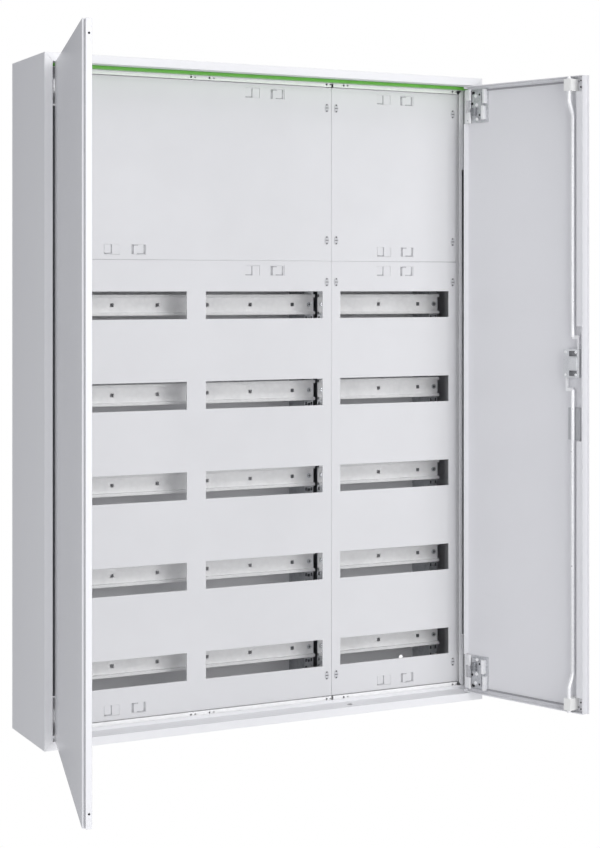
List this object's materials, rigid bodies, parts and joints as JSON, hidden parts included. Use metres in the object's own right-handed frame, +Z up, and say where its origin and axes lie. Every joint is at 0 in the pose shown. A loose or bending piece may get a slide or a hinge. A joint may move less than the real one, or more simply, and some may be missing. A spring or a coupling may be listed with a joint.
{
  "type": "wall-mounted switchboard cabinet",
  "caption": "Shallow wall-mounted electrical cabinet with unequal double doors, inner rail frames, windowed covers and a rod lock.",
  "frame": {"origin": "centre of the four-hole wall-fixing pattern in the rear plane", "axes": "+X right seen from the front, +Y towards the wall, +Z up; the front faces -Y"},
  "size_m": [0.971, 0.6586, 1.1],
  "materials": {
    "coated_steel": "fine-textured light grey powder coat",
    "cover_sheet": "matt white-grey",
    "galvanised_steel": "galvanised",
    "plated_steel": "zinc plated",
    "cast_zinc": "satin die cast",
    "green_plastic": "satin green",
    "white_plastic": "moulded",
    "grey_plastic": "moulded",
    "black_plastic": "moulded satin"
  },
  "bodies": {
    "cabinet": {"bottom_cable_plate": "coated_steel", "bottom_panel": "coated_steel", "cover_posts": "grey_plastic", "left_hinge_brackets": "plated_steel", "left_hinge_pins": "plated_steel", "left_side_panel": "coated_steel", "left_upright": "galvanised_steel", "lower_narrow_cover": "cover_sheet", "lower_narrow_fasteners": "grey_plastic", "lower_wide_cover": "cover_sheet", "lower_wide_fasteners": "grey_plastic", "marking_strip": "green_plastic", "middle_left_upright": "galvanised_steel", "middle_right_upright": "galvanised_steel", "narrow_frame_crossbars": "galvanised_steel", "narrow_rail_1": "galvanised_steel", "narrow_rail_2": "galvanised_steel", "narrow_rail_3": "galvanised_steel", "narrow_rail_4": "galvanised_steel", "narrow_rail_5": "galvanised_steel", "rail_screws": "plated_steel", "rear_wall": "coated_steel", "right_hinge_brackets": "plated_steel", "right_hinge_pins": "plated_steel", "right_side_panel": "coated_steel", "right_upright": "galvanised_steel", "top_cable_plate": "coated_steel", "top_panel": "coated_steel", "upper_narrow_cover": "cover_sheet", "upper_narrow_fasteners": "grey_plastic", "upper_wide_cover": "cover_sheet", "upper_wide_fasteners": "grey_plastic", "wide_frame_crossbars": "galvanised_steel", "wide_rail_1": "galvanised_steel", "wide_rail_2": "galvanised_steel", "wide_rail_3": "galvanised_steel", "wide_rail_4": "galvanised_steel", "wide_rail_5": "galvanised_steel"},
    "left_door": {"left_door_panel": "coated_steel", "left_door_stile": "coated_steel", "left_hinge_leaves": "plated_steel"},
    "right_door": {"right_door_panel": "coated_steel", "right_door_stile": "coated_steel", "right_hinge_leaves": "plated_steel", "rod_guides": "white_plastic", "lock_case": "cast_zinc", "handle_tray": "black_plastic"},
    "upper_rod": {"upper_rod": "plated_steel"},
    "lower_rod": {"lower_rod": "plated_steel"},
    "lock_spindle": {"lock_spindle": "plated_steel", "handle_pivot_pin": "plated_steel"},
    "swing_handle": {"swing_handle": "black_plastic"},
    "lock_barrel": {"lock_barrel": "plated_steel"}
  },
  "joints": [
    {"name": "left_door_hinge", "type": "hinge", "parent": "cabinet", "child": "left_door", "pos_m": [-0.3775, -0.172, 0], "axis": [0, 0, 1], "range_deg": [0, 103.6]},
    {"name": "right_door_hinge", "type": "hinge", "parent": "cabinet", "child": "right_door", "pos_m": [0.3775, -0.172, 0], "axis": [0, 0, 1], "range_deg": [-109, 0]},
    {"name": "handle_turn", "type": "hinge", "parent": "right_door", "child": "lock_spindle", "pos_m": [0.45271, -0.39042, 0.052], "axis": [-0.9455, -0.3256, 0], "range_deg": [0, 90]},
    {"name": "handle_lift", "type": "hinge", "parent": "lock_spindle", "child": "swing_handle", "pos_m": [0.465, -0.38618, 0.052], "axis": [-0.3256, 0.9455, 0], "range_deg": [-35, 0]},
    {"name": "lock_barrel_turn", "type": "hinge", "parent": "swing_handle", "child": "lock_barrel", "pos_m": [0.465, -0.38618, -0.05], "axis": [-0.9455, -0.3256, 0], "range_deg": [0, 90]},
    {"name": "upper_rod_slide", "type": "slide", "parent": "right_door", "child": "upper_rod", "axis": [0, 0, 1], "range_m": [0, 0.01414]},
    {"name": "lower_rod_slide", "type": "slide", "parent": "right_door", "child": "lower_rod", "axis": [0, 0, -1], "range_m": [0, 0.01414]}
  ],
  "couplings": [
    {"joint": "upper_rod_slide", "follows": "handle_turn", "m_per_rad": 0.009},
    {"joint": "lower_rod_slide", "follows": "handle_turn", "m_per_rad": 0.009}
  ]
}
